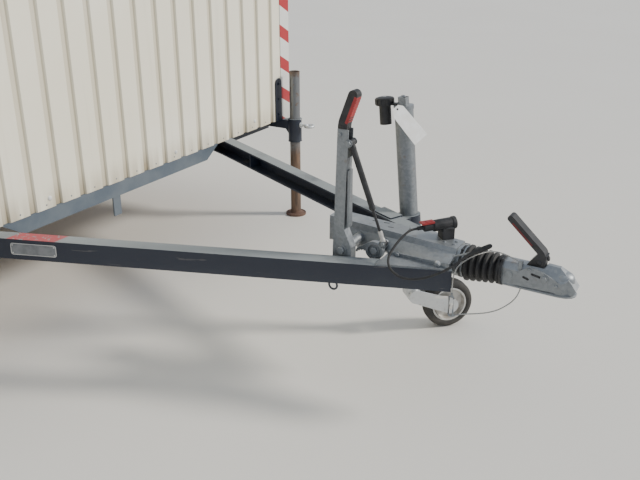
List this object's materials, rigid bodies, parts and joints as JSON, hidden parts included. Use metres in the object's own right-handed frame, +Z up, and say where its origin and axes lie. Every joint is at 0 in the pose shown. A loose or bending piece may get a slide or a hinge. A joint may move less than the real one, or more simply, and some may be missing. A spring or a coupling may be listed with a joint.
{
  "type": "construction site wagon",
  "caption": "Towable site wagon with a ribbed hollow cabin, V drawbar with overrun coupling, jockey wheel, corner props and a rear door.",
  "frame": {"origin": "on the ground under the middle of the whole wagon, coupling and rear step included", "axes": "+X forward to the coupling, +Y to the wagon's left, +Z up"},
  "size_m": [6.366, 2.224, 2.6948],
  "materials": {
    "sheet": "satin ivory coil-coated sheet",
    "post": "white with red slanted reflective blocks",
    "roof_skin": "dull mill-finish sheet",
    "floor": "sealed ply",
    "drawbar": "dark anthracite paint, dusty on top",
    "sill": "blue-grey paint",
    "galvanised": "weathered zinc",
    "prop_steel": "rusty lower tube, grey upper tube",
    "black_plastic": "dull black",
    "wire_rope": "zinc wire rope",
    "rubber": "ribbed black rubber",
    "tyre": "dusty tread",
    "wheel_steel": "silver paint",
    "window_frame": "anodised",
    "glass": "clear",
    "lamp_lens": "red and amber lens",
    "reflector_red": "prismatic red",
    "reflector_orange": "prismatic orange"
  },
  "bodies": {
    "wagon": {"front_wall": "sheet", "rear_wall": "sheet", "left_wall": "sheet", "right_wall": "sheet", "door_frame": "window_frame", "hinge_frame_half": "galvanised", "window_frames_left": "window_frame", "window_frames_right": "window_frame", "window_panes_left": "glass", "window_panes_right": "glass", "corner_posts": "post", "roof": "roof_skin", "floor_panel": "floor", "wheel_boxes": "galvanised", "chassis_rails": "drawbar", "cross_members": "drawbar", "outriggers": "drawbar", "drawbar_beam_left": "drawbar", "drawbar_beam_right": "drawbar", "front_sill": "sill", "prop_collars": "drawbar", "axle_tube": "galvanised", "swing_arms": "galvanised", "overrun_housing": "galvanised", "draw_tube": "galvanised", "bellows": "rubber", "coupling_head": "galvanised", "coupling_handle": "black_plastic", "electric_cable": "rubber", "trailer_plug": "black_plastic", "breakaway_cable": "wire_rope", "breakaway_hook": "galvanised", "breakaway_loop": "wire_rope", "handbrake_lever": "galvanised", "handbrake_grip": "black_plastic", "brake_sector": "galvanised", "gas_strut": "black_plastic", "jockey_tube": "galvanised", "jockey_clamp": "drawbar", "jockey_crank": "black_plastic", "rear_step": "galvanised", "lamp_boards": "drawbar", "rear_lamps": "lamp_lens", "rear_reflectors": "reflector_red", "side_reflectors": "reflector_orange", "tie_straps": "drawbar"},
    "door": {"door_leaf": "sheet", "hinge_door_half": "galvanised", "door_handle": "black_plastic"},
    "wheel_left": {"rim_left": "wheel_steel", "tyre_left": "tyre"},
    "wheel_right": {"rim_right": "wheel_steel", "tyre_right": "tyre"},
    "prop_front_left": {"prop_front_left": "prop_steel"},
    "prop_front_right": {"prop_front_right": "prop_steel"},
    "prop_rear_left": {"prop_rear_left": "prop_steel"},
    "prop_rear_right": {"prop_rear_right": "prop_steel"},
    "jockey_leg": {"jockey_leg": "galvanised"},
    "jockey_wheel": {"jockey_rim": "wheel_steel", "jockey_tyre": "tyre"}
  },
  "joints": [
    {"name": "wheel_left_spin", "type": "hinge", "parent": "wagon", "child": "wheel_left", "pos_m": [-0.813, 0.955, 0.314], "axis": [0, 1, 0], "continuous": true},
    {"name": "wheel_right_spin", "type": "hinge", "parent": "wagon", "child": "wheel_right", "pos_m": [-0.813, -0.955, 0.314], "axis": [0, 1, 0], "continuous": true},
    {"name": "door_swing", "type": "hinge", "parent": "wagon", "child": "door", "pos_m": [-2.928, 0.413, 1.5], "axis": [0, 0, -1], "range_deg": [0, 110]},
    {"name": "prop_front_left_slide", "type": "slide", "parent": "wagon", "child": "prop_front_left", "axis": [0, 0, 1], "range_m": [0, 0.3]},
    {"name": "prop_front_right_slide", "type": "slide", "parent": "wagon", "child": "prop_front_right", "axis": [0, 0, 1], "range_m": [0, 0.3]},
    {"name": "prop_rear_left_slide", "type": "slide", "parent": "wagon", "child": "prop_rear_left", "axis": [0, 0, 1], "range_m": [0, 0.3]},
    {"name": "prop_rear_right_slide", "type": "slide", "parent": "wagon", "child": "prop_rear_right", "axis": [0, 0, 1], "range_m": [0, 0.3]},
    {"name": "jockey_slide", "type": "slide", "parent": "wagon", "child": "jockey_leg", "axis": [-0.0958, 0, 0.9954], "range_m": [0, 0.13]},
    {"name": "jockey_spin", "type": "hinge", "parent": "jockey_leg", "child": "jockey_wheel", "pos_m": [2.68724, 0.36395, 0.0875], "axis": [0.7071, -0.7071, 0], "continuous": true}
  ]
}
